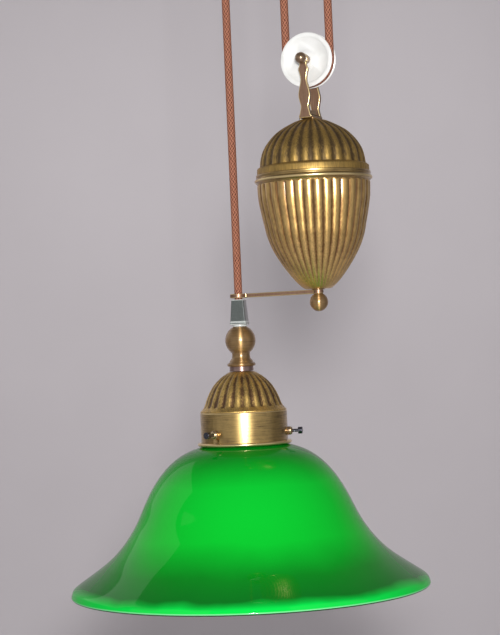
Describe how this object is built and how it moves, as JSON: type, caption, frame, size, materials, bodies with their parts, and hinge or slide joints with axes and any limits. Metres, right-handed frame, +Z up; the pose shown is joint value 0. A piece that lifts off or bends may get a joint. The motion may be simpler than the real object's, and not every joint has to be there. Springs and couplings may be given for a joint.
{
  "type": "rise and fall pendant lamp",
  "caption": "Rise and fall pendant: a green glass bell shade balanced by a ribbed brass counterweight on porcelain pulleys and one textile cord.",
  "frame": {"origin": "centre of the ceiling plate's upper face, on the ceiling", "axes": "+Z up into the ceiling, +X in the plane of the pulleys from the lamp towards the counterweight, +Y along the pulley axles"},
  "size_m": [0.3499, 0.35, 0.91],
  "materials": {
    "steel": "zinc plated",
    "plain_brass": "aged, satin",
    "bronzed_brass": "bronzed, satin",
    "turned_brass": "turned, aged",
    "dark_brass": "dark antique",
    "band_brass": "brushed, antique",
    "bowl_brass": "antique, ribs polished",
    "dome_brass": "antique, dark grooves",
    "holder_brass": "aged",
    "collar": "satin, bronzed",
    "iron": "as cast",
    "porcelain": "white glaze",
    "grip_plastic": "dark grey green",
    "white_plastic": "matt",
    "core_plastic": "smooth",
    "cord": "braided",
    "nickel": "nickel plated",
    "green_glass": "opaque gloss green, white inside"
  },
  "bodies": {
    "ceiling_fitting": {"ceiling_plate": "steel", "canopy": "plain_brass", "canopy_bolt": "steel", "canopy_ball_nut": "plain_brass", "ceiling_fork": "bronzed_brass", "ceiling_fork_stud": "steel", "ceiling_fork_nut": "steel", "ceiling_axle": "turned_brass", "ceiling_axle_nuts": "turned_brass", "ceiling_spacers": "turned_brass", "ceiling_nipple": "plain_brass", "ceiling_nipple_nut": "steel", "ceiling_cord_grip": "grip_plastic", "ceiling_grip_base": "grip_plastic", "cord_over_ceiling_pulley": "cord", "terminal_block": "white_plastic", "terminal_screws": "turned_brass", "supply_wires": "core_plastic"},
    "ceiling_pulley": {"ceiling_pulley": "porcelain", "ceiling_pulley_bush": "turned_brass"},
    "counterweight": {"counterweight_fork": "bronzed_brass", "counterweight_axle": "turned_brass", "counterweight_axle_nuts": "turned_brass", "counterweight_spacers": "turned_brass", "counterweight_lid": "dark_brass", "counterweight_ring": "band_brass", "counterweight_bowl": "bowl_brass", "iron_filling": "iron", "tie_rod": "steel", "tie_rod_nut": "steel", "arm_washer": "turned_brass", "spacer_arm": "bronzed_brass", "foot_ball_nut": "turned_brass", "cord_under_counterweight_pulley": "cord", "cord_middle_run": "cord", "cord_supply_run": "cord"},
    "counterweight_pulley": {"counterweight_pulley": "porcelain", "counterweight_pulley_bush": "turned_brass"},
    "lamp": {"cord_lamp_run": "cord", "lamp_cord_grip": "grip_plastic", "lamp_grip_base": "grip_plastic", "lamp_tube": "plain_brass", "neck_ball": "turned_brass", "neck_collar": "collar", "lamp_dome": "dome_brass", "gallery": "band_brass", "gallery_bosses": "turned_brass", "gallery_washer": "steel", "gallery_locknut": "steel", "lampholder_cap": "holder_brass", "lampholder_sleeve": "holder_brass", "lampholder_insert": "porcelain", "screw_shell": "turned_brass", "centre_contact": "turned_brass", "lamp_wires": "core_plastic", "glass_shade": "green_glass"},
    "thumb_screw_1": {"thumb_screw_1": "nickel"},
    "thumb_screw_2": {"thumb_screw_2": "nickel"},
    "thumb_screw_3": {"thumb_screw_3": "nickel"}
  },
  "joints": [
    {"name": "lamp_slide", "type": "slide", "parent": "ceiling_fitting", "child": "lamp", "axis": [0, 0, -1], "range_m": [0, 0.5], "deforming": ["cord_lamp_run"]},
    {"name": "counterweight_slide", "type": "slide", "parent": "ceiling_fitting", "child": "counterweight", "axis": [0, 0, 1], "range_m": [0, 0.25], "deforming": ["cord_middle_run", "cord_supply_run"]},
    {"name": "ceiling_pulley_spin", "type": "hinge", "parent": "ceiling_fitting", "child": "ceiling_pulley", "pos_m": [-0.02525, 0, -0.1], "axis": [0, -1, 0], "range_deg": [0, 935]},
    {"name": "counterweight_pulley_spin", "type": "hinge", "parent": "counterweight", "child": "counterweight_pulley", "pos_m": [0.028, 0, -0.4], "axis": [0, 1, 0], "range_deg": [0, 640]},
    {"name": "thumb_screw_1_slide", "type": "slide", "parent": "lamp", "child": "thumb_screw_1", "axis": [0.9724, 0.2334, 0], "range_m": [0, 0.004]},
    {"name": "thumb_screw_2_slide", "type": "slide", "parent": "lamp", "child": "thumb_screw_2", "axis": [-0.6884, 0.7254, 0], "range_m": [0, 0.004]},
    {"name": "thumb_screw_3_slide", "type": "slide", "parent": "lamp", "child": "thumb_screw_3", "axis": [-0.284, -0.9588, 0], "range_m": [0, 0.004]}
  ],
  "couplings": [
    {"joint": "counterweight_slide", "follows": "lamp_slide", "ratio": 0.5},
    {"joint": "ceiling_pulley_spin", "follows": "lamp_slide", "rad_per_m": 32.52},
    {"joint": "counterweight_pulley_spin", "follows": "lamp_slide", "rad_per_m": 22.222}
  ]
}
